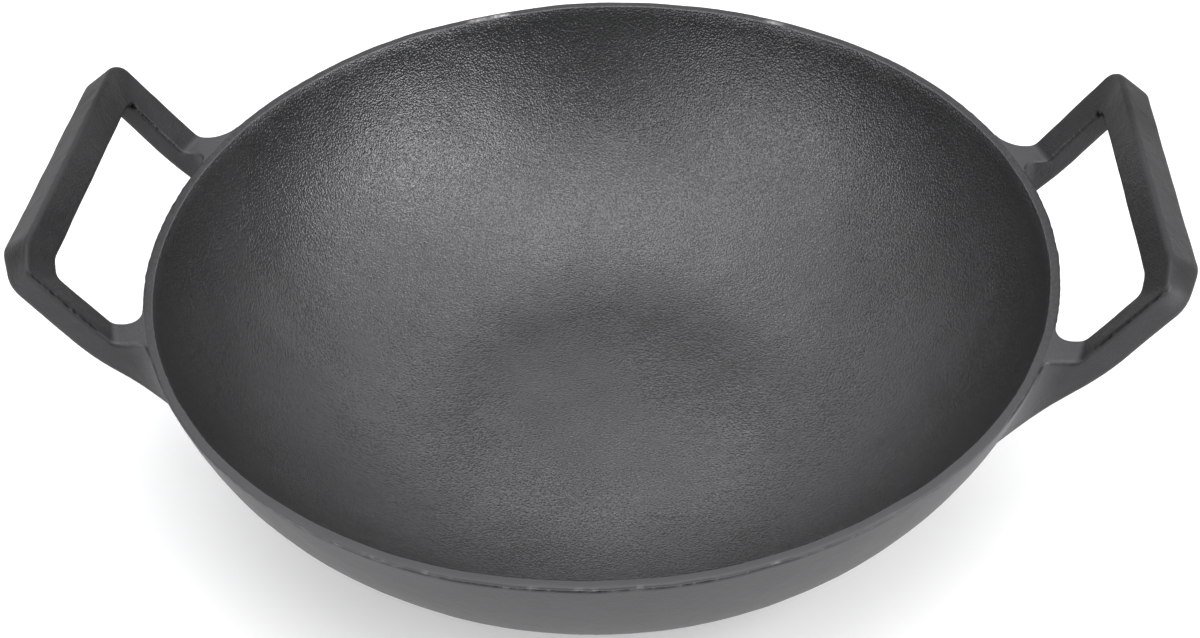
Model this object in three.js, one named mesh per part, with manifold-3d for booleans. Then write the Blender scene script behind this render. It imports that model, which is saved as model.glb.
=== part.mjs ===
// Flat-based cast-iron wok with two upright loop handles, in millimetres.
// +Z is up, +X runs through the handles, and the origin is the centre of the base's underside.
// The real wok is one iron casting. It is built here as its bowl and its two handles,
// each a solid of its own, parted where the handle roots meet the bowl's wall.
import * as THREE from "three";
import { mergeVertices } from "three/addons/utils/BufferGeometryUtils.js";
import Module from "manifold-3d";

// Bowl
const rimDiameter = 356;
const bowlHeight = 98;
const baseDiameter = 122;
const rimLand = 4;
const floorThickness = 5;
const rimEdgeRound = 0.8;

// Handle: root pads that lie flush with the rim, legs that rise from them, and the grip across the legs
const handleWidth = 133;
const legWidth = 12;
const legThickness = 12.8;
const padReach = 11;
const rootDepth = 41;
const rimFillet = 7.5;
const footFillet = 11;

// Grip: where its top ridge lies from the rim's outer top edge, and the sides of its section.
// The face towards the bowl leans back, and the outer face and the underside's inner end fall away from it.
const ridgeReach = 26.8;
const ridgeRise = 39.2;
const gripTall = 15.5;
const gripOuterDepth = 14.6;
const gripInnerDepth = 9.4;
const gripLean = THREE.MathUtils.degToRad(66.5);
const gripFall = THREE.MathUtils.degToRad(33.5);

// Rounding along the bars and round the loop's corners
const barEdgeRound = 2.8;
const ridgeCornerSetback = 11;
const outerCornerSetback = 21;
const innerCornerSetback = 7;

// Gap left between a handle root and the bowl's wall
const jointGap = 0.3;

// Facets
const bowlSegments = 90;
const wallSteps = 12;
const edgeSteps = 3;
const cornerSteps = 6;
const filletSteps = 5;

const rimRadius = rimDiameter / 2;
const baseRadius = baseDiameter / 2;
const innerRimRadius = rimRadius - rimLand;

// Seasoned iron: smoother in the bowl, as cast on the handles
const bowlIron = { color: 0x3b3b3c, roughness: 0.5, metalness: 0.25 };
const handleIron = { color: 0x434344, roughness: 0.6, metalness: 0.25 };

// Radius of the arc that leaves a flat disc of radius `flat` tangentially and has climbed `height`
// where it is `reach` from the axis.
function wallArcRadius(flat, reach, height) {
  const run = reach - flat;
  return (run * run + height * height) / (2 * height);
}

// Points up that arc from the disc at level `foot` to the rim, as [radius, level] pairs.
// `grow` moves the arc outwards along its normals.
function wallArc(flat, reach, foot, top, grow = 0) {
  const arc = wallArcRadius(flat, reach, top - foot);
  const sweep = Math.asin(Math.min(1, (reach - flat) / arc));
  const fullSweep = top - foot > arc ? Math.PI - sweep : sweep;
  return Array.from({ length: wallSteps + 1 }, (_, i) => {
    const turn = (fullSweep * i) / wallSteps;
    return [flat + (arc + grow) * Math.sin(turn), foot + arc - (arc + grow) * Math.cos(turn)];
  });
}

// Radius of the bowl's outer wall at a level above the base.
function outerWallRadius(level) {
  const arc = wallArcRadius(baseRadius, rimRadius, bowlHeight);
  return baseRadius + Math.sqrt(Math.max(0, arc * arc - (arc - level) ** 2));
}

// A solid of revolution about +Z from [radius, level] pairs that start and end on the axis.
function revolve(pairs) {
  const profile = pairs.map(([radius, level]) => new THREE.Vector2(radius, level));
  return new THREE.LatheGeometry(profile, bowlSegments).rotateX(Math.PI / 2);
}

// The bowl: flat base, round wall, and a flat rim land with eased edges.
function bowlGeometry() {
  const outside = wallArc(baseRadius, rimRadius, 0, bowlHeight);
  const inside = wallArc(baseRadius, innerRimRadius, floorThickness, bowlHeight);
  const lowered = bowlHeight - rimEdgeRound;
  return revolve([
    [0, 0],
    ...outside.slice(0, -1),
    [outerWallRadius(lowered), lowered],
    [rimRadius - rimEdgeRound, bowlHeight],
    [innerRimRadius + rimEdgeRound, bowlHeight],
    [innerRimRadius, lowered],
    ...inside.slice(0, -1).reverse(),
    [0, floorThickness],
  ]);
}

// Everything inside the bowl's outer wall, grown by the joint gap: what a handle root is cut by.
function bowlEnvelopeGeometry() {
  const wall = wallArc(baseRadius, rimRadius, 0, bowlHeight, jointGap);
  const above = bowlHeight + barEdgeRound;
  return revolve([[0, -jointGap], ...wall, [rimRadius + jointGap, above], [0, above]]);
}

// One cross-section of the loop: the four corners of the bar, in order round it.
function section(topOuter, topInner, underInner, underOuter) {
  return [topOuter, topInner, underInner, underOuter];
}

// A point at a distance `away` outside the rim's circle, at the side position `y`.
function besideRim(away, y, level) {
  return new THREE.Vector3(Math.sqrt((rimRadius + away) ** 2 - y * y), y, level);
}

// How far a round fillet spreads a root at a distance from the wall.
function filletSpread(radius, away) {
  const rest = Math.max(0, radius - away);
  return radius - Math.sqrt(radius ** 2 - rest ** 2);
}

// A ring of points round a section, with its corners rounded: its upper two by the bar's own round.
function roundedRing(corners, underRound = barEdgeRound) {
  const rounds = [barEdgeRound, barEdgeRound, underRound, underRound];
  return corners.flatMap((corner, k) => {
    const before = corners[(k + 3) % 4].clone().sub(corner).setLength(rounds[k]);
    const after = corners[(k + 1) % 4].clone().sub(corner).setLength(rounds[k]);
    const round = new THREE.QuadraticBezierCurve3(corner.clone().add(before), corner, corner.clone().add(after));
    return round.getPoints(edgeSteps);
  });
}

// Rings round one half of the loop, from inside the bowl's wall to the grip's end of the corner, at +Y.
function halfLoop() {
  const outerY = handleWidth / 2;
  const innerY = outerY - legWidth;

  // The grip's four corner lines, which run along Y.
  const back = new THREE.Vector2(-Math.cos(gripLean), -Math.sin(gripLean)).multiplyScalar(gripTall);
  const fall = new THREE.Vector2(Math.cos(gripFall), -Math.sin(gripFall));
  const ridge = new THREE.Vector2(rimRadius + ridgeReach, bowlHeight + ridgeRise);
  const inner = ridge.clone().add(back);
  const under = inner.clone().addScaledVector(fall, gripInnerDepth);
  const outer = ridge.clone().addScaledVector(fall, gripOuterDepth);
  const turn = section(
    new THREE.Vector3(ridge.x, outerY, ridge.y),
    new THREE.Vector3(inner.x, innerY, inner.y),
    new THREE.Vector3(under.x, innerY, under.y),
    new THREE.Vector3(outer.x, outerY, outer.y),
  );

  // Where the pad ends and the leg starts to rise. The leg's underside is level across.
  const kinkOuter = besideRim(padReach, outerY, bowlHeight);
  const kinkInner = besideRim(padReach, innerY, bowlHeight);
  const legLean = Math.atan2(turn[0].z - kinkOuter.z, turn[0].x - kinkOuter.x);
  const through = new THREE.Vector3(Math.sin(legLean), 0, -Math.cos(legLean)).multiplyScalar(legThickness);
  const kinkUnder = kinkOuter.clone().add(through);
  const kink = section(kinkOuter, kinkInner, new THREE.Vector3(kinkUnder.x, innerY, kinkUnder.z), kinkUnder);

  // The root between the wall and the kink: its top flush with the rim, its underside running down the wall.
  const footLevel = bowlHeight - rootDepth;
  const rootSection = (away) => {
    const rimSpread = filletSpread(rimFillet, away);
    const footSpread = filletSpread(footFillet, away);
    const level = footLevel - footSpread;
    const underside = (y, end) => {
      const foot = new THREE.Vector3(Math.sqrt(outerWallRadius(level) ** 2 - y * y), y, level);
      return foot.lerp(new THREE.Vector3(end.x, y, end.z), away / padReach);
    };
    return section(
      besideRim(away, outerY + rimSpread, bowlHeight),
      besideRim(away, innerY - rimSpread, bowlHeight),
      underside(innerY - footSpread, kink[2]),
      underside(outerY + footSpread, kink[3]),
    );
  };
  const rootRing = (away, inwards = 0) => {
    const corners = rootSection(away).map((corner) => corner.setX(corner.x - inwards));
    return roundedRing(corners, barEdgeRound + filletSpread(footFillet, away));
  };
  const reach = Math.min(padReach, footFillet);
  const roots = Array.from({ length: filletSteps }, (_, i) => rootRing(reach * (i / filletSteps) ** 2));
  const buried = rootRing(0, 2 * rimLand);

  // The rounded corner between leg and grip, each corner line on its own quadratic curve.
  const setbacks = [ridgeCornerSetback, innerCornerSetback, innerCornerSetback, outerCornerSetback];
  const bends = turn.map((corner, k) => {
    const legEnd = kink[k].clone().sub(corner).setLength(setbacks[k]).add(corner);
    const gripEnd = new THREE.Vector3(corner.x, corner.y - setbacks[k], corner.z);
    return new THREE.QuadraticBezierCurve3(legEnd, corner, gripEnd);
  });
  const corners = Array.from({ length: cornerSteps + 1 }, (_, i) =>
    roundedRing(bends.map((bend) => bend.getPoint(i / cornerSteps))),
  );
  return [buried, ...roots, roundedRing(kink), ...corners];
}

// A closed skin over a row of rings that all have as many points, with a flat cap at each end.
function loft(rings) {
  const around = rings[0].length;
  const positions = rings.flat().flatMap((point) => point.toArray());
  const faces = [];
  for (let i = 0; i + 1 < rings.length; i++) {
    for (let j = 0; j < around; j++) {
      const next = (j + 1) % around;
      const here = i * around;
      const there = here + around;
      faces.push(here + j, here + next, there + next, here + j, there + next, there + j);
    }
  }
  const last = (rings.length - 1) * around;
  for (let j = 1; j + 1 < around; j++) {
    faces.push(0, j + 1, j, last, last + j, last + j + 1);
  }
  const geometry = new THREE.BufferGeometry();
  geometry.setAttribute("position", new THREE.Float32BufferAttribute(positions, 3));
  geometry.setIndex(faces);
  return geometry;
}

const wasm = await Module();
wasm.setup();

// A closed geometry as a solid that can be cut.
function toSolid(geometry) {
  const bare = geometry.clone();
  bare.deleteAttribute("normal");
  bare.deleteAttribute("uv");
  const merged = mergeVertices(bare, 1e-3);
  return new wasm.Manifold(
    new wasm.Mesh({
      numProp: 3,
      vertProperties: merged.attributes.position.array,
      triVerts: new Uint32Array(merged.index.array),
    }),
  );
}

function toGeometry(solid) {
  const mesh = solid.getMesh();
  const geometry = new THREE.BufferGeometry();
  geometry.setAttribute("position", new THREE.BufferAttribute(mesh.vertProperties, 3));
  geometry.setIndex(new THREE.BufferAttribute(mesh.triVerts, 1));
  geometry.computeVertexNormals();
  return geometry;
}

// The loop from root to root, cut to the bowl's wall.
function handleGeometry() {
  const half = halfLoop();
  const acrossY = (ring) => ring.map((point) => new THREE.Vector3(point.x, -point.y, point.z));
  const loop = loft([...half, ...half.map(acrossY).reverse()]);
  return toGeometry(toSolid(loop).subtract(toSolid(bowlEnvelopeGeometry())));
}

function named(name, geometry, finish) {
  const mesh = new THREE.Mesh(geometry, new THREE.MeshStandardMaterial(finish));
  mesh.name = name;
  return mesh;
}

const wok = new THREE.Group();
wok.add(named("bowl", bowlGeometry(), bowlIron));

const handle = handleGeometry();
wok.add(named("right_handle", handle, handleIron));
const leftSide = new THREE.Group();
leftSide.rotation.z = Math.PI;
leftSide.add(named("left_handle", handle, handleIron));
wok.add(leftSide);

export default wok;
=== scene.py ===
"""Looks of a flat-based cast-iron wok with two loop handles. Metres, +Z up, in the frame of its solids."""
import math

import bpy
import numpy as np
from mathutils import Matrix, Vector


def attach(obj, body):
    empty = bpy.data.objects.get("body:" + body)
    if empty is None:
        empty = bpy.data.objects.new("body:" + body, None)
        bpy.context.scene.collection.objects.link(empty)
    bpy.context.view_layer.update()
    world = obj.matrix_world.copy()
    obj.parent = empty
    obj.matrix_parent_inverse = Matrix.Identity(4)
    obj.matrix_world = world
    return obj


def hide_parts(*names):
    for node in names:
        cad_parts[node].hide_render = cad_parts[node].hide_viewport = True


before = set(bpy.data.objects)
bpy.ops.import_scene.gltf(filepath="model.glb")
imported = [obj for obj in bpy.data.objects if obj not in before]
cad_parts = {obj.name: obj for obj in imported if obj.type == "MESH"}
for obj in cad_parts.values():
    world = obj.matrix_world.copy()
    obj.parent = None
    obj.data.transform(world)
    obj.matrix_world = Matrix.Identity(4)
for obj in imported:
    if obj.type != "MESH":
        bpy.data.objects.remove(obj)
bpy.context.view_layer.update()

# Bowl
# The bowl is one round iron casting with a flat base, a wall of one arc and a flat rim.
# The sand core pebbles its inside, the mould leaves its outside plainer, and where the mould's
# halves met, a thin broken flash overhangs the wall just under the rim's outer edge.

# Lengths are in millimetres and angles in radians, unless a comment says otherwise.
MM = 0.001
RIM_RADIUS = 178.0
BOWL_HEIGHT = 98.0
BASE_RADIUS = 61.0
RIM_LAND = 4.0
FLOOR_THICKNESS = 5.0
LAND_FALL = 0.12
INNER_EDGE_ROUND = 0.9
INNER_EDGE_END = 0.15
RIM_START = 94.0
INSIDE_CLIMB = 91.5
POLE_RADIUS = 2.0
BASE_RINGS = 8
WALL_RINGS = 38
EDGE_RINGS = 8
INSIDE_RINGS = 42
FLOOR_RINGS = 10
BOWL_COLUMNS = 760

FLASH_OVERHANG = 0.22
FLASH_GROOVE = 0.9
FLASH_FRONT = math.radians(-88)
FLASH_SPAN = math.radians(27)
FLASH_ELSEWHERE = 0.15
FLASH_BARE = 0.3
EDGE_WORN = 0.7
ROOT_END = 84.0
CHIP_DEPTH = 1.0
CHIP_REACH = 13.0
# Painted shade: the land is painted darker away from the front, from this angle on and over this fade.
LAND_PAINTED_SHADE = 0.42
PAINTED_SHADE_START = 0.8
PAINTED_SHADE_FADE = 0.8
# Painted glints, pale spots on the far edge: middle and half-width in degrees, and strength.
GLINT_SPOTS = ((109.2, 1.4, 1.0), (112.6, 1.5, 0.55), (66.4, 1.3, 0.6))


def arc_radius(reach, climb):
    """Radius of the arc that leaves the base's flat disc tangentially and has climbed `climb` at `reach`:
    run squared plus climb squared, over twice the climb."""
    return ((reach - BASE_RADIUS) ** 2 + climb ** 2) / (2 * climb)


def arc_reach(arc, climbed):
    """Distance from the axis at a height up that arc: the flat's radius plus the arc's run there."""
    return BASE_RADIUS + np.sqrt(np.maximum(0.0, arc ** 2 - (arc - climbed) ** 2))


def arc_climbs(arc, top, count):
    """Heights up that arc, from nothing to its top, that lie at equal steps along it."""
    return arc * (1 - np.cos(np.linspace(0, math.acos(1 - top / arc), count)))


OUTER_ARC = arc_radius(RIM_RADIUS, BOWL_HEIGHT)
INNER_ARC = arc_radius(RIM_RADIUS - RIM_LAND, BOWL_HEIGHT - FLOOR_THICKNESS)


def mould_ripple(points):
    """How the sand moves each point: along every axis a sum of sine waves of random direction and phase,
    in three lengths, a tenth of a millimetre high and less. It depends on the place alone."""
    rng = np.random.default_rng(41)
    waves = 12
    moved = np.zeros_like(points)
    for length, height in ((80.0, 0.11), (22.0, 0.045), (9.0, 0.018)):
        heading = rng.normal(size=(3, 3 * waves))
        heading *= 2 * math.pi / length / np.linalg.norm(heading, axis=0)
        phase = rng.uniform(0, 2 * math.pi, 3 * waves)
        swell = np.sin(points @ heading + phase).reshape(points.shape[:-1] + (3, waves))
        moved += height * swell.sum(axis=-1) / math.sqrt(waves / 2)
    return moved


def ragged(angle, multiples, seed, middle, swing, limits):
    """A ragged value along a line: the sum of cosines of an angle's multiples with random phases, about -1
    to 1, times the swing and about the middle, kept within the limits."""
    rng = np.random.default_rng(seed)
    turns = np.arange(*multiples)
    phase = rng.uniform(0, 2 * math.pi, len(turns))
    wave = np.cos(angle[..., None] * turns + phase).sum(axis=-1) / math.sqrt(len(turns))
    return np.clip(middle + swing * wave, *limits)


def skin(name, rings, **marks):
    """A closed mesh over rings of points (rings, around, 3) in millimetres: quads join each ring to the next,
    a fan to the ring's middle closes each end, and the sign of the volume turns the faces outwards. Each mark
    is a value for every point, such as how worn and highlighted it is and how much painted shade it has,
    kept for the material to read."""
    count, around = rings.shape[:2]
    here = np.arange(count * around).reshape(count, around)
    ahead = np.roll(here, -1, axis=1)
    quads = np.stack([here[:-1], ahead[:-1], ahead[1:], here[1:]], axis=-1).reshape(-1, 4)
    first, last = np.full(around, count * around), np.full(around, count * around + 1)
    fans = np.concatenate([
        np.stack([ahead[0], here[0], first], axis=-1),
        np.stack([here[-1], ahead[-1], last], axis=-1),
    ])
    points = np.concatenate([rings.reshape(-1, 3), rings[[0, -1]].mean(axis=1)]) * MM
    corners = points[np.concatenate([quads[:, :3], quads[:, [0, 2, 3]], fans])]
    volume = np.einsum("ij,ij->", corners[:, 0], np.cross(corners[:, 1], corners[:, 2]))
    if volume < 0:
        quads, fans = quads[:, ::-1], fans[:, ::-1]
    mesh = bpy.data.meshes.new(name)
    mesh.from_pydata(points.tolist(), [], quads.tolist() + fans.tolist())
    mesh.shade_smooth()
    for mark, share in marks.items():
        values = np.concatenate([share.ravel(), share[[0, -1]].mean(axis=1)])
        mesh.attributes.new(mark, "FLOAT", "POINT").data.foreach_set("value", values.astype(np.float32))
    piece = bpy.data.objects.new(name, mesh)
    bpy.context.scene.collection.objects.link(piece)
    return piece


def bowl_rings():
    """Half a section turned about +Z: out along the base, up the outer arc, over the rim, down the inner arc
    and in to the floor's middle. The rim carries the flash, whose groove and lip vary with the angle, and
    beside the handles' front roots its edge is chipped away; the groove and the chips are painted dark as
    painted shade. Towards the far side the land is painted darker as painted shade, and its inner edge has
    painted glints in pale spots, each a bell curve of the angle with its own middle, width and strength.
    Returns the rings, how worn each point is, how much painted shade it has, how pale it is from iron
    showing through and painted glints, and the first row of the inside."""
    angle = np.linspace(0, 2 * math.pi, BOWL_COLUMNS, endpoint=False)
    from_front = np.abs(np.angle(np.exp(1j * (angle - FLASH_FRONT))))
    beside_root = np.exp(-((-RIM_RADIUS * np.sin(angle) - ROOT_END) / CHIP_REACH) ** 4)
    strength = np.exp(-(from_front / FLASH_SPAN) ** 4) + FLASH_ELSEWHERE
    open_groove = strength * ragged(angle, (9, 340), seed=7, middle=0.75, swing=0.7, limits=(0.05, 1))
    proud = ragged(angle, (30, 260), seed=8, middle=0.5, swing=0.5, limits=(-0.2, 1.6))
    flecks = strength * ragged(angle, (20, 340), seed=9, middle=-0.7, swing=1, limits=(0, 1))

    # Each list below has one value for each ring of the rim, from the wall up to the land.
    drop = np.array([3.4, 2.9, 2.5, 2.2, 1.9, 1.6, 1.35, 1.15, 1.05, 0.9, 0.6, 0.3, 0.1, 0.0])
    hollow = np.array([0, 0.04, 0.3, 0.75, 1, 1, 0.8, 0.35, 0, 0, 0, 0, 0, 0])[:, None]
    lip = np.array([0, 0, 0, 0, 0, 0, 0, 0.3, 0.8, 1, 1, 0.8, 0.4, 0])[:, None]
    inset = np.array([0, 0, 0, 0, 0, 0, 0, 0, 0, 0, 0.03, 0.14, 0.38, 0.85])
    chipped = np.array([0, 0, 0, 0.2, 0.8, 1, 1, 1, 1, 1, 1, 0.9, 0.7, 0.4])[:, None]
    chip_painted_shade_amount = np.array([0, 0, 0, 0.2, 0.7, 0.9, 0.9, 0.9, 0.9, 0.8, 0.6, 0.3, 0, 0])[:, None]
    worn = np.array([0, 0, 0, 0, 0, 0, 0, 0, 0.2, 0.5, 0.8, 1, 1, 1])[:, None]

    # And these for each ring of the land, from its outer edge inwards.
    land = RIM_RADIUS - np.array([1.3, 1.9, 2.5])
    land_level = BOWL_HEIGHT - np.array([0, 0.01, 0.06])
    land_worn = np.array([1, 0.9, 0.8])[:, None]
    land_bare = np.array([0.3, 0.8, 1])[:, None]

    flat = np.linspace(POLE_RADIUS, BASE_RADIUS, BASE_RINGS + 1)[:-1]
    climbed = arc_climbs(OUTER_ARC, RIM_START, WALL_RINGS)
    turn = np.linspace(math.pi / 2, INNER_EDGE_END, EDGE_RINGS)
    inner = RIM_RADIUS - RIM_LAND + INNER_EDGE_ROUND * (1 - np.cos(turn))
    inner_level = BOWL_HEIGHT - LAND_FALL - INNER_EDGE_ROUND * (1 - np.sin(turn))
    fallen = arc_climbs(INNER_ARC, INSIDE_CLIMB, INSIDE_RINGS)[::-1]
    floor = np.linspace(BASE_RADIUS, POLE_RADIUS, FLOOR_RINGS + 1)[1:]
    radius = np.concatenate([
        flat, arc_reach(OUTER_ARC, climbed), arc_reach(OUTER_ARC, BOWL_HEIGHT - drop) - inset,
        land, inner, arc_reach(INNER_ARC, fallen), floor,
    ])
    level = np.concatenate([
        0 * flat, climbed, BOWL_HEIGHT - drop, land_level, inner_level,
        fallen + FLOOR_THICKNESS, 0 * floor + FLOOR_THICKNESS,
    ])
    rim_rows = len(flat) + len(climbed) + np.arange(len(drop))
    land_rows = rim_rows[-1] + 1 + np.arange(len(land))
    inner_rows = land_rows[-1] + 1 + np.arange(len(turn))

    reach = np.repeat(radius[:, None], BOWL_COLUMNS, axis=1)
    reach[rim_rows] += FLASH_OVERHANG * lip * proud - FLASH_GROOVE * hollow * open_groove
    reach[rim_rows] -= CHIP_DEPTH * chipped * beside_root
    rings = np.stack([
        reach * np.cos(angle), reach * np.sin(angle), np.repeat(level[:, None], BOWL_COLUMNS, axis=1)
    ], axis=-1)
    rings += mould_ripple(rings)
    rings[..., 2] = np.maximum(rings[..., 2], 0)

    rubbed = np.zeros_like(reach)
    rubbed[rim_rows] = worn
    rubbed[land_rows] = land_worn
    rubbed[inner_rows] = np.linspace(EDGE_WORN, 0, len(turn))[:, None]
    # Painted shade: the land, its inner edge and the rim's top are painted darker away from the front.
    painted_darkening = LAND_PAINTED_SHADE * np.clip((from_front - PAINTED_SHADE_START) / PAINTED_SHADE_FADE, 0, 1)
    top_rows = rim_rows[-3:]
    # Painted shade in the flash's groove and in the chips beside the handles' roots.
    grimy = np.zeros_like(reach)
    grimy[rim_rows] = np.maximum(hollow * open_groove, chip_painted_shade_amount * beside_root)
    grimy[top_rows] = np.maximum(grimy[top_rows], painted_darkening)
    grimy[land_rows] = painted_darkening
    grimy[inner_rows] = painted_darkening
    bare = np.zeros_like(reach)
    bare[rim_rows] = FLASH_BARE * lip * flecks
    # Painted glints: pale spots on the land's inner edge at the far side.
    for middle, width, share in GLINT_SPOTS:
        bare_spot = share * np.exp(-((np.degrees(angle) - middle) / width) ** 4)
        bare[land_rows] += land_bare * bare_spot
        bare[inner_rows] += bare_spot
    return rings, rubbed, grimy, bare, inner_rows[2]


def srgb(hex_colour):
    """An sRGB hex colour as linear red, green, blue and alpha."""
    parts = [int(hex_colour[i:i + 2], 16) / 255 for i in (1, 3, 5)]
    return [p / 12.92 if p <= 0.04045 else ((p + 0.055) / 1.055) ** 2.4 for p in parts] + [1.0]


def add_node(tree, kind, sockets=None, **settings):
    """Adds a node, sets its settings, and gives each named input socket a value or a link from an output."""
    made = tree.nodes.new(kind)
    for setting, value in settings.items():
        setattr(made, setting, value)
    for socket, value in (sockets or {}).items():
        if isinstance(value, bpy.types.NodeSocket):
            tree.links.new(value, made.inputs[socket])
        else:
            made.inputs[socket].default_value = value
    return made


# Seasoned cast iron from a sand core: baked oil, black and half glossy, over fine pebbles about a
# millimetre across. The pebbles sparkle where a light is mirrored and vanish in the shade.
PEBBLE_WIDTH = 0.8
PEBBLE_HEIGHT = 0.42
INSIDE_BLOTCH_WIDTH = 38.0
INSIDE_BLOTCH_SHARE = 0.3
pebbled_iron = bpy.data.materials.new("pebbled seasoned cast iron")
pebbled_iron.use_nodes = True
tree = pebbled_iron.node_tree
tree.nodes.clear()
place = add_node(tree, "ShaderNodeTexCoord").outputs["Object"]
pebbles = add_node(tree, "ShaderNodeTexNoise", {
    "Vector": place, "Scale": 1 / (PEBBLE_WIDTH * MM), "Detail": 1.0, "Roughness": 0.5})
blotches = add_node(tree, "ShaderNodeTexNoise", {
    "Vector": place, "Scale": 1 / (INSIDE_BLOTCH_WIDTH * MM), "Detail": 3.0, "Roughness": 0.55})
# The colour follows the pebbles' height, paler on the crests and darker in the pits: partly the iron's own
# grain, partly painted shade in the pits.
mottle = add_node(tree, "ShaderNodeMath", {
    0: blotches.outputs["Fac"], 1: INSIDE_BLOTCH_SHARE, 2: pebbles.outputs["Fac"]}, operation="MULTIPLY_ADD")
shade = add_node(tree, "ShaderNodeMapRange", {
    "Value": mottle.outputs[0], "From Min": 0.3, "From Max": 1.0, "To Min": 0.0, "To Max": 1.0})
colour = add_node(tree, "ShaderNodeMix", {
    0: shade.outputs[0], 6: srgb("#454546"), 7: srgb("#656566")}, data_type="RGBA")
gloss = add_node(tree, "ShaderNodeMapRange", {
    "Value": blotches.outputs["Fac"], "From Min": 0.3, "From Max": 0.7, "To Min": 0.14, "To Max": 0.17})
relief = add_node(tree, "ShaderNodeBump", {
    "Height": pebbles.outputs["Fac"], "Strength": 1.0, "Distance": PEBBLE_HEIGHT * MM})
iron = add_node(tree, "ShaderNodeBsdfPrincipled", {
    "Base Color": colour.outputs[2], "Roughness": gloss.outputs[0], "Metallic": 0.77,
    "Normal": relief.outputs["Normal"]})
add_node(tree, "ShaderNodeOutputMaterial", {"Surface": iron.outputs[0]})

# Seasoned cast iron as it left the mould: drier and greyer than inside, with a fine sand grain and
# shallow lumps a few millimetres wide that break up its dull sheen. Painted shade, pale iron showing through
# and painted glints show in flecks.
MOULD_SAND_WIDTH = 1.2
MOULD_SAND_HEIGHT = 0.13
MOULD_LUMP_WIDTH = 7.0
MOULD_LUMP_HEIGHT = 0.2
OUTSIDE_BLOTCH_WIDTH = 30.0
as_cast_iron = bpy.data.materials.new("as-cast seasoned cast iron")
as_cast_iron.use_nodes = True
tree = as_cast_iron.node_tree
tree.nodes.clear()
place = add_node(tree, "ShaderNodeTexCoord").outputs["Object"]
sand = add_node(tree, "ShaderNodeTexNoise", {
    "Vector": place, "Scale": 1 / (MOULD_SAND_WIDTH * MM), "Detail": 2.0, "Roughness": 0.6})
lumps = add_node(tree, "ShaderNodeTexNoise", {
    "Vector": place, "Scale": 1 / (MOULD_LUMP_WIDTH * MM), "Detail": 2.0, "Roughness": 0.5})
blotches = add_node(tree, "ShaderNodeTexNoise", {
    "Vector": place, "Scale": 1 / (OUTSIDE_BLOTCH_WIDTH * MM), "Detail": 3.0, "Roughness": 0.6})
colour = add_node(tree, "ShaderNodeMix", {
    0: blotches.outputs["Fac"], 6: srgb("#4c4c4d"), 7: srgb("#5b5b5c")}, data_type="RGBA")
rubbed_mark = add_node(tree, "ShaderNodeAttribute", attribute_name="rubbed").outputs["Fac"]
wear_and_highlight_colour = add_node(tree, "ShaderNodeMix", {
    0: rubbed_mark, 6: colour.outputs[2], 7: srgb("#525253")}, data_type="RGBA")
flecks = add_node(tree, "ShaderNodeMapRange", {
    "Value": sand.outputs["Fac"], "From Min": 0.4, "From Max": 0.58, "To Min": 0.35, "To Max": 1.0})
# Painted shade, #1c1c1c, in flecks: in the flash's groove, in the chips and on the far land.
grimy_mark = add_node(tree, "ShaderNodeAttribute", attribute_name="grimy").outputs["Fac"]
painted_shade_amount = add_node(tree, "ShaderNodeMath", {0: grimy_mark, 1: flecks.outputs[0]}, operation="MULTIPLY")
grimy_colour = add_node(tree, "ShaderNodeMix", {
    0: painted_shade_amount.outputs[0], 6: wear_and_highlight_colour.outputs[2], 7: srgb("#1c1c1c")}, data_type="RGBA")
# Pale #d0d0ce in flecks: iron showing through on the flash, and painted glints on the far inner edge.
bare_mark = add_node(tree, "ShaderNodeAttribute", attribute_name="bare").outputs["Fac"]
scuff_and_glint = add_node(tree, "ShaderNodeMath", {0: bare_mark, 1: flecks.outputs[0]}, operation="MULTIPLY")
bare_colour = add_node(tree, "ShaderNodeMix", {
    0: scuff_and_glint.outputs[0], 6: grimy_colour.outputs[2], 7: srgb("#d0d0ce")}, data_type="RGBA")
gloss = add_node(tree, "ShaderNodeMapRange", {
    "Value": blotches.outputs["Fac"], "From Min": 0.3, "From Max": 0.7, "To Min": 0.52, "To Max": 0.58})
lumpy = add_node(tree, "ShaderNodeBump", {
    "Height": lumps.outputs["Fac"], "Strength": 1.0, "Distance": MOULD_LUMP_HEIGHT * MM})
relief = add_node(tree, "ShaderNodeBump", {
    "Height": sand.outputs["Fac"], "Strength": 1.0, "Distance": MOULD_SAND_HEIGHT * MM,
    "Normal": lumpy.outputs["Normal"]})
iron = add_node(tree, "ShaderNodeBsdfPrincipled", {
    "Base Color": bare_colour.outputs[2], "Roughness": gloss.outputs[0], "Metallic": 0.87,
    "Normal": relief.outputs["Normal"]})
add_node(tree, "ShaderNodeOutputMaterial", {"Surface": iron.outputs[0]})

rings, rubbed, grimy, bare, inside_row = bowl_rings()
bowl = skin("cast_bowl", rings, rubbed=rubbed, grimy=grimy, bare=bare)
bowl.data.materials.append(as_cast_iron)
bowl.data.materials.append(pebbled_iron)
finish_of_row = (np.arange(len(rings) - 1) >= inside_row).astype(np.int32)
bowl.data.polygons.foreach_set("material_index", np.concatenate([
    np.repeat(finish_of_row, BOWL_COLUMNS), np.repeat(np.array([0, 1], np.int32), BOWL_COLUMNS)]))
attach(bowl, "root")
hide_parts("bowl")

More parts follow.
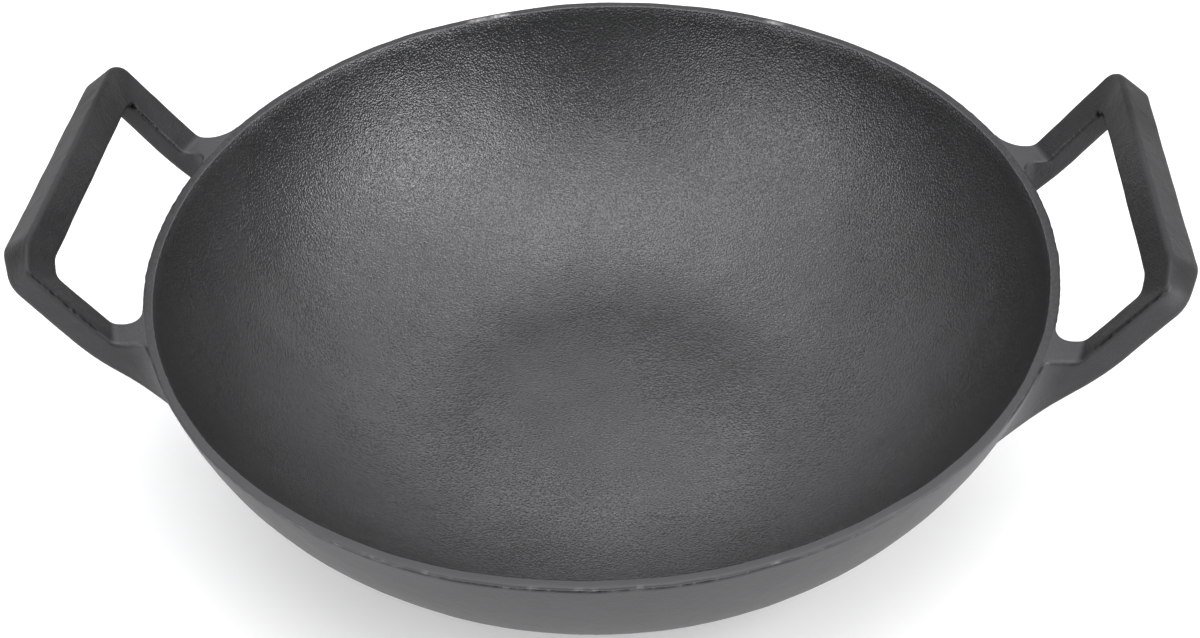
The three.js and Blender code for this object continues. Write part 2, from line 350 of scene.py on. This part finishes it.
# Handles
# Each handle is a loop of iron bar cast in one with the bowl. Its roots lie flush with the rim and run
# down the wall into round feet, its legs rise and lean outwards, and its grip is a slanting bar
# whose wide face looks down into the bowl. The loop's corners are cut off, the front ones more.
HALF_WIDTH = 67.1
LEG_WIDTH = 12.8
LEG_THICKNESS = 12.8
PAD_REACH = 11.0
ROOT_DEPTH = 41.0
RIM_FILLET = 8.0
FOOT_FILLET = 15.0
FRONT_SHOULDER = (2.0, 3.5)
BACK_SHOULDER = (8.0, 8.0)
RIDGE_REACH = 26.8
RIDGE_RISE = 39.5
GRIP_TALL = 15.2
GRIP_OUTER_DEPTH = 15.2
GRIP_INNER_DEPTH = 9.4
GRIP_LEAN = math.radians(66.5)
GRIP_FALL = math.radians(33.5)
LEG_HEAD_INSET = 6.5
LEG_HEAD_DROP = 4.1

# One value for each corner line of the bar: top outer, top inner, under inner, under outer. The cuts
# are how far back from a loop's corner each line leaves the leg, and then how far along it joins the grip.
EDGE_ROUND = np.array([2.4, 1.8, 2.6, 2.6])
KINK_BEND = np.array([2.4, 2.4, 10.0, 10.0])
LEG_BEND = np.array([3.6, 2.6, 2.6, 6.0])
GRIP_BEND = np.array([3.4, 2.6, 2.6, 3.4])
FRONT_CUTS = np.array([[5.0, 3.5, 3.5, 0.0], [13.0, 7.0, 7.0, 15.5]])
BACK_CUTS = np.array([[4.2, 2.5, 2.5, 0.0], [5.4, 2.5, 2.5, 9.0]])
BEND_LIMIT = 0.45

# A root's end is tucked into the wall, more so under the land, and closed deeper in by shrinking rings.
LAND_TUCK = 2.5
LAND_DIP = 0.25
LAND_SINK = 0.6
WALL_TUCK = 1.2
CAP_DEPTH = 1.6
CAP_SHARES = np.array([0.1, 0.4, 0.7])
ON_LAND = 0.05
PAD_PROUD = 0.03
PAD_FLUSH = 0.01

ROUND_POINTS = 9
SIDE_POINTS = 14
SIDE_SHARES = (0.5 - 0.5 * np.cos(np.linspace(0, math.pi, SIDE_POINTS + 2)))[1:-1]
ROOT_RINGS = 22
BEND_RINGS = 8
LEG_RINGS = 48
CUT_RINGS = 10
GRIP_RINGS = 30


def wall_face(y, level):
    """Where the bowl's outside stands along +X at a side position and a level."""
    return np.sqrt(arc_reach(OUTER_ARC, np.clip(level, 0, BOWL_HEIGHT)) ** 2 - y ** 2)


def off_wall(points):
    """How far each point stands off the bowl's outside along +X."""
    return points[..., 0] - wall_face(points[..., 1], points[..., 2])


def straight(start, end, steps):
    """Points at equal steps from start, which is left out, to end."""
    return start + (end - start) * np.linspace(0, 1, steps + 1)[1:, None, None]


def bend(start, corner, end, steps):
    """Points on the quadratic curve from start, which is left out, to end that heads for the corner."""
    share = np.linspace(0, 1, steps + 1)[1:, None, None]
    return (1 - share) ** 2 * start + 2 * share * (1 - share) * corner + share ** 2 * end


def towards(start, end, distance):
    """The point at a distance from start on the way to end, for each of the four corner lines."""
    way = end - start
    return start + way * (distance / np.linalg.norm(way, axis=-1))[:, None]


def bar_section(corners):
    """Rings round a bar from its corner lines (stations, 4, 3): each corner is a quadratic curve that starts
    and ends its rounding's length away, and runs of points that crowd towards the curves join them."""
    share = np.linspace(0, 1, ROUND_POINTS)[None, :, None]
    along = SIDE_SHARES[None, :, None]
    before = corners[:, [3, 0, 1, 2]] - corners
    after = corners[:, [1, 2, 3, 0]] - corners
    start = corners + before * (EDGE_ROUND / np.linalg.norm(before, axis=-1))[..., None]
    end = corners + after * (EDGE_ROUND / np.linalg.norm(after, axis=-1))[..., None]
    parts = []
    for k in range(4):
        a, b, c = start[:, k, None], corners[:, k, None], end[:, k, None]
        parts.append((1 - share) ** 2 * a + 2 * share * (1 - share) * b + share ** 2 * c)
        parts.append(c + (start[:, (k + 1) % 4, None] - c) * along)
    return np.concatenate(parts, axis=1)


def root_spread(shoulder):
    """For each point round a root, the way its fillet spreads it over the wall, (sideways, down), and the
    fillet's radius there: small and sideways beside the rim, larger and downwards round the foot. On the
    loop's outer side it has the shoulder's two radii, at the top and just under it, and widens below."""
    arc = np.linspace(0, math.pi / 2, ROUND_POINTS)
    one, zero = np.ones(ROUND_POINTS), np.zeros(ROUND_POINTS)
    flat = np.zeros(SIDE_POINTS)
    sideways = [one, 1 - 2 * SIDE_SHARES, -one, flat - 1, -np.cos(arc), flat, np.sin(arc), flat + 1]
    down = [zero, flat, zero, flat, np.sin(arc), flat + 1, np.cos(arc), flat]
    radius = [
        np.linspace(shoulder[1], shoulder[0], ROUND_POINTS),
        shoulder[0] + (RIM_FILLET - shoulder[0]) * SIDE_SHARES,
        one * RIM_FILLET,
        RIM_FILLET + (FOOT_FILLET - RIM_FILLET) * SIDE_SHARES,
        one * FOOT_FILLET, flat + FOOT_FILLET, one * FOOT_FILLET,
        FOOT_FILLET + (shoulder[1] - FOOT_FILLET) * SIDE_SHARES ** 3,
    ]
    return np.concatenate(sideways), np.concatenate(down), np.concatenate(radius)


def corner_lines():
    """The four corner lines of the bar at +X and +Y: where each leaves the wall, where it kinks upwards,
    where the leg's line ends and where the grip's starts."""
    inner_y = HALF_WIDTH - LEG_WIDTH
    side = np.array([HALF_WIDTH, inner_y, inner_y, HALF_WIDTH])
    ridge = np.array([RIM_RADIUS + RIDGE_REACH, BOWL_HEIGHT + RIDGE_RISE])
    inner = ridge - GRIP_TALL * np.array([math.cos(GRIP_LEAN), math.sin(GRIP_LEAN)])
    fall = np.array([math.cos(GRIP_FALL), -math.sin(GRIP_FALL)])
    grip = np.array([ridge, inner, inner + GRIP_INNER_DEPTH * fall, ridge + GRIP_OUTER_DEPTH * fall])
    turn = np.stack([grip[:, 0], side, grip[:, 1]], axis=-1)
    head = turn.copy()
    head[3] -= np.array([LEG_HEAD_INSET, 0, LEG_HEAD_DROP])

    kink_x = np.sqrt((RIM_RADIUS + PAD_REACH) ** 2 - side ** 2)
    lean = math.atan2(turn[0, 2] - BOWL_HEIGHT, turn[0, 0] - kink_x[0])
    kink = np.stack([kink_x, side, np.full(4, BOWL_HEIGHT)], axis=-1)
    kink[2:, 0] = kink_x[0] + LEG_THICKNESS * math.sin(lean)
    kink[2:, 2] -= LEG_THICKNESS * math.cos(lean)
    foot_level = BOWL_HEIGHT - np.array([0, 0, ROOT_DEPTH, ROOT_DEPTH])
    foot = np.stack([wall_face(side, foot_level), side, foot_level], axis=-1)
    return foot, kink, head, turn


FOOT, KINK, LEG_HEAD, GRIP_CORNER = corner_lines()


def cut_corner(cuts):
    """Where each corner line leaves the leg for the cut corner, and where it joins the grip."""
    return towards(LEG_HEAD, KINK, cuts[0]), GRIP_CORNER - cuts[1][:, None] * np.array([0, 1, 0])


def half_loop(cuts, shoulder):
    """Rings round half a handle at +X and +Y, from an end sunk in the wall to the middle of the grip. The
    corner lines run straight from wall to kink, up the leg, over the cut corner and along the grip, with a
    bend between each two. Near the wall a ring keeps its height h off the wall and spreads by the fillet's
    radius f: f minus the square root of f squared less (f - h) squared."""
    leg_top, grip_start = cut_corner(cuts)
    grip_end = GRIP_CORNER * np.array([1, 0, 1])
    root_end = towards(KINK, FOOT, KINK_BEND)

    out = 1 - np.cos(np.linspace(0, math.pi / 2, ROOT_RINGS))
    root = bar_section(FOOT + (root_end - FOOT) * out[:, None, None])
    root[..., 0] -= off_wall(root[0]) * (1 - out[:, None])
    height = off_wall(root)
    sideways, down, radius = root_spread(shoulder)
    spread = radius - np.sqrt(radius ** 2 - np.clip(radius - height, 0, radius) ** 2)
    root[..., 1] += spread * sideways
    root[..., 2] -= spread * down
    root[..., 0] = wall_face(root[..., 1], root[..., 2]) + height

    on_top = root[0, :, 2] > BOWL_HEIGHT - ON_LAND
    tucked = root[0] - np.where(on_top, LAND_TUCK, WALL_TUCK)[:, None] * np.array([1, 0, 0])
    tucked[:, 2] -= np.where(on_top, LAND_DIP, 0.0)
    sunk = tucked - np.where(on_top, LAND_SINK, 0.0)[:, None] * np.array([0, 0, 1])
    middle = sunk.mean(axis=0)
    cap = middle + (sunk - middle) * CAP_SHARES[:, None, None]
    cap[..., 0] = wall_face(cap[..., 1], cap[..., 2]) - CAP_DEPTH

    longest_bend = BEND_LIMIT * np.linalg.norm(grip_start - leg_top, axis=-1)
    leg_bend = np.minimum(LEG_BEND, longest_bend)
    grip_bend = np.minimum(GRIP_BEND, longest_bend)
    leg = [towards(KINK, leg_top, KINK_BEND), towards(leg_top, KINK, leg_bend)]
    cut = [towards(leg_top, grip_start, leg_bend), towards(grip_start, leg_top, grip_bend)]
    grip = towards(grip_start, grip_end, grip_bend)
    bar = bar_section(np.concatenate([
        bend(root_end, KINK, leg[0], BEND_RINGS),
        straight(leg[0], leg[1], LEG_RINGS),
        bend(leg[1], leg_top, cut[0], BEND_RINGS),
        straight(cut[0], cut[1], CUT_RINGS),
        bend(cut[1], grip_start, grip, BEND_RINGS),
        straight(grip, grip_end, GRIP_RINGS),
    ]))
    half = np.concatenate([cap, [sunk, tucked], root, bar])
    half[..., 2] += np.where(np.abs(half[..., 2] - BOWL_HEIGHT) < PAD_FLUSH, PAD_PROUD, 0.0)
    return half


# Casting and use have marked the legs: along the line where the mould's halves met, the back leg has a
# pit, a crack and a low bead, the front leg a groove, and the pads and roots are worn paler. The pit, the
# crack, the groove, the crease between root and rim and the grips' far ends are painted dark as painted
# shade; the bead, the front corner's cut edge and a patch at its foot carry a painted highlight, and a patch
# higher on the cut is a painted dark reflection.
LEG_ACROSS = (KINK[1] - KINK[0]) / np.linalg.norm(KINK[1] - KINK[0])
LEG_NORMAL = np.cross(LEG_ACROSS, LEG_HEAD[0] - KINK[0])
LEG_NORMAL *= np.sign(LEG_NORMAL[2]) / np.linalg.norm(LEG_NORMAL)
PAD_BAND = 1.3
PAD_SIDE = 0.3
PAD_SIDE_FADE = 1.2
PAD_END = 2.5
PAD_END_FADE = 3.0
WALL_WEAR = 9.0
SEAM_INSET = 0.4
SEAM_WIDTH = 0.6
SEAM_HEIGHT = 0.4
SEAM_LOSS = 0.35
BEAD_FADE_SLOPE = 10
CRACK_WIDTH = 0.45
CRACK_DEPTH = 0.6
CRACK_START = 0.4
CRACK_OVERRUN = 0.1
PIT_RADIUS = 1.0
PIT_DEPTH = 1.1
# Painted shade at each grip's far end.
GRIP_PAINTED_SHADE = 0.6
GRIP_PAINTED_SHADE_REACH = 16.0
GRIP_PAINTED_SHADE_RADIUS = 19.0
GROOVE_INSET = 1.3
GROOVE_START = 0.12
GROOVE_WIDTH = 0.65
GROOVE_DEPTH = 0.55
# Painted shade in the front leg's groove.
GROOVE_PAINTED_SHADE = 0.7
# A painted highlight along the front corner's cut edge and at its foot, and a painted dark reflection higher
# on the cut.
CUT_EDGE_HIGHLIGHT_WIDTH = 0.8
HIGHLIGHT_RADIUS = 4.5
BROW_SHARE = 0.7
DARK_REFLECTION_RADIUS = 7.0
# Painted shade in the crease between root and rim.
RIM_SEAM_SIDE = 1.0
RIM_SEAM_DROP = 1.5
RIM_SEAM_TALL = 1.5
RIM_SEAM_WIDTH = 0.7
RIM_SEAM_PAINTED_SHADE = 0.8


def bead(points, start, end, width, seed):
    """How much of a ragged bead along a line each point has, from 0 to about 1: a bell curve of the distance
    from the line, times a ragged value along it, fading out over a tenth of the line at both ends."""
    way = end - start
    share = np.clip((points - start) @ way / (way @ way), 0, 1)
    gap = np.linalg.norm(points - start - share[..., None] * way, axis=-1)
    fading = np.clip(BEAD_FADE_SLOPE * np.minimum(share, 1 - share), 0, 1)
    height = ragged(share * 2 * math.pi, (2, 18), seed, middle=0.9, swing=0.5, limits=(0.1, 1.5))
    return np.exp(-(gap / width) ** 2) * fading * height


def spot(points, middle, radius):
    """How much of a round spot each point has, from 0 to 1: a bell curve of the distance from its middle."""
    return np.exp(-(np.linalg.norm(points - middle, axis=-1) / radius) ** 2)


def rubbed_root(half):
    """How worn each point of a root is: wholly on the pad's top as far as the kink, and elsewhere the more
    the nearer it comes to the wall."""
    level_with_rim = np.clip(PAD_BAND - np.abs(half[..., 2] - BOWL_HEIGHT), 0, 1)
    on_top = np.clip((HALF_WIDTH - PAD_SIDE - half[..., 1]) / PAD_SIDE_FADE, 0, 1)
    before_kink = np.clip((KINK[1, 0] + PAD_END - half[..., 0]) / PAD_END_FADE, 0, 1)
    return np.maximum(level_with_rim * on_top * before_kink, np.clip(1 - off_wall(half) / WALL_WEAR, 0, 1))


def back_marks(half, seed, cracked):
    """Marks of the back half: a pit in the inner corner, a crack that comes down from it as deep as the leg
    is cracked, and a bead from the root that a crack cuts short, all along the normal of the leg's top. The
    bead is painted paler as a painted highlight, and the pit, the crack and the far end of the grip are
    painted dark as painted shade.
    Returns the moved points, how worn and highlighted and how much painted shade each is."""
    leg_top, grip_start = cut_corner(BACK_CUTS)
    corner, root = leg_top[1] - SEAM_INSET * LEG_ACROSS, KINK[1] - SEAM_INSET * LEG_ACROSS
    climb = corner - root
    pit = spot(half, corner, PIT_RADIUS)
    crack_start, crack_end = root + CRACK_START * climb, corner + CRACK_OVERRUN * climb
    crack = cracked * bead(half, crack_start, crack_end, CRACK_WIDTH, seed)
    seam = bead(half, root, root + (1 - SEAM_LOSS * cracked) * climb, SEAM_WIDTH, seed + 1)
    lift = SEAM_HEIGHT * seam - CRACK_DEPTH * crack - PIT_DEPTH * pit
    # Painted shade in the pit and the crack and at the grip's far end.
    far_end = grip_start.mean(axis=0) - np.array([0, GRIP_PAINTED_SHADE_REACH, 0])
    painted_darkening = GRIP_PAINTED_SHADE * spot(half, far_end, GRIP_PAINTED_SHADE_RADIUS)
    # The pads and roots by the wall are worn paler, and the bead is painted paler as a painted highlight.
    rubbed = np.maximum(rubbed_root(half), seam)
    return half + lift[..., None] * LEG_NORMAL, rubbed, np.clip(crack + pit + painted_darkening, 0, 1)


def front_marks(half, seed, dark_reflection_share, highlight_share):
    """Marks of the front half: a groove by the outer edge of the leg's top, sunk along its normal. The upper
    edge of the corner's cut and a patch at its foot carry a painted highlight, the groove and the outer
    corner between root and rim are painted dark as painted shade, and a patch higher on the cut is painted
    dark as a painted dark reflection.
    Returns the moved points, how worn and highlighted and how much painted shade each is."""
    leg_top, grip_start = cut_corner(FRONT_CUTS)
    start, end = KINK[0] + GROOVE_INSET * LEG_ACROSS, LEG_HEAD[0] + GROOVE_INSET * LEG_ACROSS
    groove = bead(half, start + GROOVE_START * (end - start), end, GROOVE_WIDTH, seed)
    lift = -GROOVE_DEPTH * groove
    # A painted highlight along the cut's upper edge and at its foot.
    cut_edge_highlight = bead(half, leg_top[0], grip_start[0], CUT_EDGE_HIGHLIGHT_WIDTH, seed + 1)
    heel = (leg_top[0] + leg_top[3]) / 2
    brow = heel + BROW_SHARE * ((grip_start[0] + grip_start[3]) / 2 - heel)
    painted_highlight = highlight_share * spot(half, heel, HIGHLIGHT_RADIUS)
    # A painted dark reflection higher on the cut.
    painted_darkening = dark_reflection_share * spot(half, brow, DARK_REFLECTION_RADIUS)
    # Painted shade in the crease between root and rim.
    below_rim = (half[..., 2] - (BOWL_HEIGHT - RIM_SEAM_DROP)) / RIM_SEAM_TALL
    rim_seam = np.exp(-(off_wall(half) / RIM_SEAM_WIDTH) ** 2 - below_rim ** 2)
    rim_seam *= half[..., 1] > HALF_WIDTH + RIM_SEAM_SIDE
    rubbed = np.maximum.reduce([rubbed_root(half), cut_edge_highlight, painted_highlight])
    grimy = np.clip(GROOVE_PAINTED_SHADE * groove + RIM_SEAM_PAINTED_SHADE * rim_seam + painted_darkening, 0, 1)
    return half + lift[..., None] * LEG_NORMAL, rubbed, grimy


# Seasoned cast iron of the handles: thicker, darker oil than on the bowl's outside over a sandy, slightly
# lumpy skin, paler where hands and shelves rub it and where highlights are painted, and painted black as
# shade in the grooves of the mould's seam, the pit, the crack and the crease by the rim.
HANDLE_SAND_WIDTH = 0.9
HANDLE_SAND_HEIGHT = 0.2
HANDLE_LUMP_WIDTH = 5.0
HANDLE_LUMP_HEIGHT = 0.25
HANDLE_BLOTCH_WIDTH = 9.0
handled_iron = bpy.data.materials.new("thickly seasoned cast iron")
handled_iron.use_nodes = True
tree = handled_iron.node_tree
tree.nodes.clear()
place = add_node(tree, "ShaderNodeTexCoord").outputs["Object"]
sand = add_node(tree, "ShaderNodeTexNoise", {
    "Vector": place, "Scale": 1 / (HANDLE_SAND_WIDTH * MM), "Detail": 1.0, "Roughness": 0.5})
lumps = add_node(tree, "ShaderNodeTexNoise", {
    "Vector": place, "Scale": 1 / (HANDLE_LUMP_WIDTH * MM), "Detail": 2.0, "Roughness": 0.5})
blotches = add_node(tree, "ShaderNodeTexNoise", {
    "Vector": place, "Scale": 1 / (HANDLE_BLOTCH_WIDTH * MM), "Detail": 4.0, "Roughness": 0.65})
colour = add_node(tree, "ShaderNodeMix", {
    0: blotches.outputs["Fac"], 6: srgb("#353536"), 7: srgb("#484849")}, data_type="RGBA")
# Worn paler, and painted highlights, in #525253.
rubbed_mark = add_node(tree, "ShaderNodeAttribute", attribute_name="rubbed").outputs["Fac"]
wear_and_highlight_colour = add_node(tree, "ShaderNodeMix", {
    0: rubbed_mark, 6: colour.outputs[2], 7: srgb("#525253")}, data_type="RGBA")
# Painted shade, #141414, in the grooves, the crack, the pit, the crease by the rim, on the painted dark
# reflections and at the grip ends.
grimy_mark = add_node(tree, "ShaderNodeAttribute", attribute_name="grimy").outputs["Fac"]
grimy_colour = add_node(tree, "ShaderNodeMix", {
    0: grimy_mark, 6: wear_and_highlight_colour.outputs[2], 7: srgb("#141414")}, data_type="RGBA")
gloss = add_node(tree, "ShaderNodeMapRange", {
    "Value": blotches.outputs["Fac"], "From Min": 0.3, "From Max": 0.7, "To Min": 0.48, "To Max": 0.56})
lumpy = add_node(tree, "ShaderNodeBump", {
    "Height": lumps.outputs["Fac"], "Strength": 1.0, "Distance": HANDLE_LUMP_HEIGHT * MM})
relief = add_node(tree, "ShaderNodeBump", {
    "Height": sand.outputs["Fac"], "Strength": 1.0, "Distance": HANDLE_SAND_HEIGHT * MM,
    "Normal": lumpy.outputs["Normal"]})
iron = add_node(tree, "ShaderNodeBsdfPrincipled", {
    "Base Color": grimy_colour.outputs[2], "Roughness": gloss.outputs[0], "Metallic": 0.87,
    "Normal": relief.outputs["Normal"]})
add_node(tree, "ShaderNodeOutputMaterial", {"Surface": iron.outputs[0]})

# The last two numbers scale each front corner's painted dark reflection and painted highlight.
for name, node, turned, cracked, dark_reflection_share, highlight_share in (
    ("right_loop", "right_handle", 1, 0.3, 0.3, 1.0),
    ("left_loop", "left_handle", -1, 1.0, 0.55, 0.2),
):
    front, front_rubbed, front_grimy = front_marks(
        half_loop(FRONT_CUTS, FRONT_SHOULDER), seed=22 + turned, dark_reflection_share=dark_reflection_share, highlight_share=highlight_share)
    back, back_rubbed, back_grimy = back_marks(
        half_loop(BACK_CUTS, BACK_SHOULDER), seed=30 + turned, cracked=cracked)
    loop = np.concatenate([back, front[-2::-1] * np.array([1, -1, 1])]) * np.array([turned, 1, 1])
    handle = skin(
        name, loop + mould_ripple(loop),
        rubbed=np.concatenate([back_rubbed, front_rubbed[-2::-1]]),
        grimy=np.concatenate([back_grimy, front_grimy[-2::-1]]))
    handle.data.materials.append(handled_iron)
    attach(handle, "root")
    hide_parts(node)

# Floor, light and camera
# A plain white studio floor, a soft light above and one at each side of the front, and a pale room.
# The camera stands where the photograph's did, a little right of the front, 39 degrees above the rim.
STUDIO_REACH = 30000.0
STUDIO_MIDDLE = 400.0
STUDIO_CLEARANCE = 0.2
STUDIO_SLAB = 20.0
STUDIO_RINGS = 6
STUDIO_COLUMNS = 96

around = np.linspace(0, 2 * math.pi, STUDIO_COLUMNS, endpoint=False)
disc = np.linspace(STUDIO_MIDDLE, STUDIO_REACH, STUDIO_RINGS)[:, None]
floor_top = np.stack([
    disc * np.cos(around), disc * np.sin(around), 0 * disc * around - STUDIO_CLEARANCE], axis=-1)
floor = skin("studio_floor", np.concatenate([floor_top, floor_top[::-1] - np.array([0, 0, STUDIO_SLAB])]))
white_floor = bpy.data.materials.new("matt white painted floor")
white_floor.use_nodes = True
paint = white_floor.node_tree.nodes["Principled BSDF"]
paint.inputs["Base Color"].default_value = srgb("#f4f4f4")
paint.inputs["Roughness"].default_value = 0.9
paint.inputs["Emission Color"].default_value = srgb("#ffffff")
paint.inputs["Emission Strength"].default_value = 0.15
floor.data.materials.append(white_floor)

# Azimuth from the front and elevation in degrees, distance and size in metres.
aim = Vector((0, 0, 0.06))
for name, azimuth, elevation, distance, size, watts in (
    ("overhead softbox", 0, 89, 1.5, 1.4, 9.6),
    ("right softbox", 65, 33, 1.5, 1.1, 13.4),
    ("left softbox", -54, 31, 1.5, 1.1, 7.9),
):
    lamp = bpy.data.lights.new(name, "AREA")
    lamp.shape = "DISK"
    lamp.size = size
    lamp.energy = watts
    turn_to, rise = math.radians(azimuth), math.radians(elevation)
    away = Vector((math.sin(turn_to) * math.cos(rise), -math.cos(turn_to) * math.cos(rise), math.sin(rise)))
    softbox = bpy.data.objects.new(name, lamp)
    softbox.location = aim + distance * away
    softbox.rotation_euler = away.to_track_quat("Z", "Y").to_euler()
    bpy.context.scene.collection.objects.link(softbox)

# The room is pale above, dim towards the floor, and paler at the back than in front.
room = bpy.data.worlds.new("pale room")
room.use_nodes = True
tree = room.node_tree
tree.nodes.clear()
heading = add_node(tree, "ShaderNodeTexCoord").outputs["Generated"]
heading_parts = add_node(tree, "ShaderNodeSeparateXYZ", {"Vector": heading})
above = add_node(tree, "ShaderNodeMapRange", {
    "Value": heading_parts.outputs["Z"], "From Min": -0.12, "From Max": 0.36, "To Min": 0.0, "To Max": 1.12})
backward = add_node(tree, "ShaderNodeMapRange", {
    "Value": heading_parts.outputs["Y"], "From Min": -0.9, "From Max": 0.75, "To Min": 0.42, "To Max": 1.25})
glow = add_node(tree, "ShaderNodeMath", {0: above.outputs[0], 1: backward.outputs[0]}, operation="MULTIPLY")
air = add_node(tree, "ShaderNodeBackground", {"Color": srgb("#f7f8f9"), "Strength": glow.outputs[0]})
add_node(tree, "ShaderNodeOutputWorld", {"Surface": air.outputs[0]})
bpy.context.scene.world = room
bpy.context.scene.view_settings.view_transform = "Standard"

# The camera's place is in metres.
CAMERA_PLACE = Vector((0.0514, -0.5383, 0.532))
CAMERA_DIP = math.radians(41.353)
CAMERA_ROLL = math.radians(2.672)
CAMERA_SWING = math.radians(5.566)
CAMERA_SENSOR = 36.0
CAMERA_FOCUS = 52.65
lens = bpy.data.cameras.new("studio camera")
lens.sensor_width = CAMERA_SENSOR
lens.lens = CAMERA_FOCUS
level_right = Vector((1, 0, 0))
level_up = Vector((0, math.sin(CAMERA_DIP), math.cos(CAMERA_DIP)))
ahead = Vector((0, math.cos(CAMERA_DIP), -math.sin(CAMERA_DIP)))
right = level_right * math.cos(CAMERA_ROLL) - level_up * math.sin(CAMERA_ROLL)
up = level_right * math.sin(CAMERA_ROLL) + level_up * math.cos(CAMERA_ROLL)
stance = Matrix((right, up, -ahead)).transposed().to_4x4()
camera = bpy.data.objects.new("studio camera", lens)
camera.matrix_world = Matrix.Translation(CAMERA_PLACE) @ Matrix.Rotation(CAMERA_SWING, 4, "Z") @ stance
bpy.context.scene.collection.objects.link(camera)
bpy.context.scene.camera = camera
